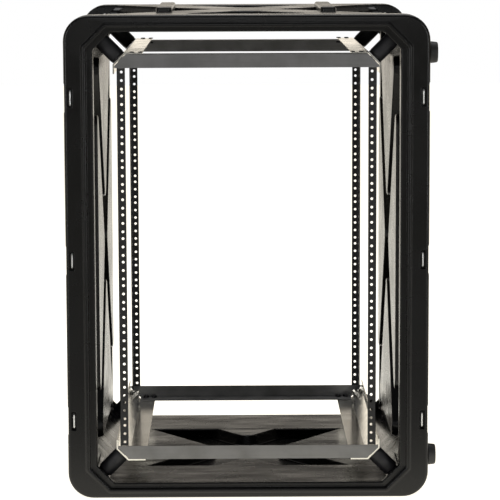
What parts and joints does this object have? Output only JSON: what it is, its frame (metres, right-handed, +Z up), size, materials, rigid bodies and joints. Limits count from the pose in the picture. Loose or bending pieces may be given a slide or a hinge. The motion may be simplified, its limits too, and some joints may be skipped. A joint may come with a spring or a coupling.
{
  "type": "equipment rack case",
  "caption": "Shock-mounted moulded case with open front and rear, holding a steel rack frame for 19 inch audio equipment, with sprung side handles and latch strikes.",
  "frame": {"origin": "centre of the footprint, on the floor", "axes": "+X to the right seen from the front, +Y to the rear, +Z up"},
  "size_m": [0.6918, 0.675, 0.9152],
  "materials": {
    "shell": "satin moulded polyethylene with a fine grain",
    "bright_steel": "bright zinc plated strike",
    "grey_steel": "plain zinc plated sheet steel, dull",
    "zinc_steel": "zinc plated sheet steel",
    "black_steel": "black powder coat, satin",
    "fastener_steel": "zinc plated",
    "rubber_mount": "black rubber, faint sheen",
    "rubber_foot": "matte black rubber",
    "handle_black": "black powder coat",
    "handle_steel": "zinc plated rod",
    "handle_rubber": "ribbed soft grip"
  },
  "bodies": {
    "case": {"case_shell": "shell", "strike_front_left_bottom": "bright_steel", "strike_front_left_middle": "bright_steel", "strike_front_left_top": "bright_steel", "strike_front_right_bottom": "bright_steel", "strike_front_right_middle": "bright_steel", "strike_front_right_top": "bright_steel", "side_foot_front_bottom": "rubber_foot", "shock_mount_front_left_bottom": "rubber_mount", "shock_mount_front_right_bottom": "rubber_mount", "side_foot_front_top": "rubber_foot", "shock_mount_front_left_top": "rubber_mount", "shock_mount_front_right_top": "rubber_mount", "strike_rear_left_bottom": "bright_steel", "strike_rear_left_middle": "bright_steel", "strike_rear_left_top": "bright_steel", "strike_rear_right_bottom": "bright_steel", "strike_rear_right_middle": "bright_steel", "strike_rear_right_top": "bright_steel", "side_foot_rear_bottom": "rubber_foot", "shock_mount_rear_left_bottom": "rubber_mount", "shock_mount_rear_right_bottom": "rubber_mount", "side_foot_rear_top": "rubber_foot", "shock_mount_rear_left_top": "rubber_mount", "shock_mount_rear_right_top": "rubber_mount", "handle_plate_left_bottom": "handle_black", "handle_plate_left_top": "handle_black", "handle_plate_right_bottom": "handle_black", "handle_plate_right_top": "handle_black"},
    "rack_frame": {"rack_rail_front_left": "black_steel", "rack_rail_front_right": "black_steel", "cross_rail_front_bottom": "grey_steel", "mount_nut_front_left_bottom": "fastener_steel", "mount_nut_front_right_bottom": "fastener_steel", "cross_rail_front_top": "grey_steel", "mount_nut_front_left_top": "fastener_steel", "mount_nut_front_right_top": "fastener_steel", "rack_rail_rear_left": "black_steel", "rack_rail_rear_right": "black_steel", "cross_rail_rear_bottom": "grey_steel", "mount_nut_rear_left_bottom": "fastener_steel", "mount_nut_rear_right_bottom": "fastener_steel", "cross_rail_rear_top": "grey_steel", "mount_nut_rear_left_top": "fastener_steel", "mount_nut_rear_right_top": "fastener_steel", "corner_beam_left_bottom": "zinc_steel", "corner_beam_left_top": "zinc_steel", "corner_beam_right_bottom": "zinc_steel", "corner_beam_right_top": "zinc_steel"},
    "handle_left_bottom": {"handle_bail_left_bottom": "handle_steel", "handle_grip_left_bottom": "handle_rubber"},
    "handle_left_top": {"handle_bail_left_top": "handle_steel", "handle_grip_left_top": "handle_rubber"},
    "handle_right_bottom": {"handle_bail_right_bottom": "handle_steel", "handle_grip_right_bottom": "handle_rubber"},
    "handle_right_top": {"handle_bail_right_top": "handle_steel", "handle_grip_right_top": "handle_rubber"}
  },
  "joints": [
    {"name": "rack_float", "type": "slide", "parent": "case", "child": "rack_frame", "axis": [0, 0, 1], "range_m": [-0.012, 0.012], "stiffness_N_per_m": 120000, "deforming": ["shock_mount_front_left_bottom", "shock_mount_front_right_bottom", "shock_mount_front_left_top", "shock_mount_front_right_top", "shock_mount_rear_left_bottom", "shock_mount_rear_right_bottom", "shock_mount_rear_left_top", "shock_mount_rear_right_top"]},
    {"name": "handle_left_bottom_swing", "type": "hinge", "parent": "case", "child": "handle_left_bottom", "pos_m": [-0.3195, 0, 0.201], "axis": [0, 1, 0], "range_deg": [0, 90], "stiffness_Nm_per_rad": 0.3},
    {"name": "handle_left_top_swing", "type": "hinge", "parent": "case", "child": "handle_left_top", "pos_m": [-0.3195, 0, 0.781], "axis": [0, 1, 0], "range_deg": [0, 90], "stiffness_Nm_per_rad": 0.3},
    {"name": "handle_right_bottom_swing", "type": "hinge", "parent": "case", "child": "handle_right_bottom", "pos_m": [0.3195, 0, 0.201], "axis": [0, -1, 0], "range_deg": [0, 90], "stiffness_Nm_per_rad": 0.3},
    {"name": "handle_right_top_swing", "type": "hinge", "parent": "case", "child": "handle_right_top", "pos_m": [0.3195, 0, 0.781], "axis": [0, -1, 0], "range_deg": [0, 90], "stiffness_Nm_per_rad": 0.3}
  ]
}
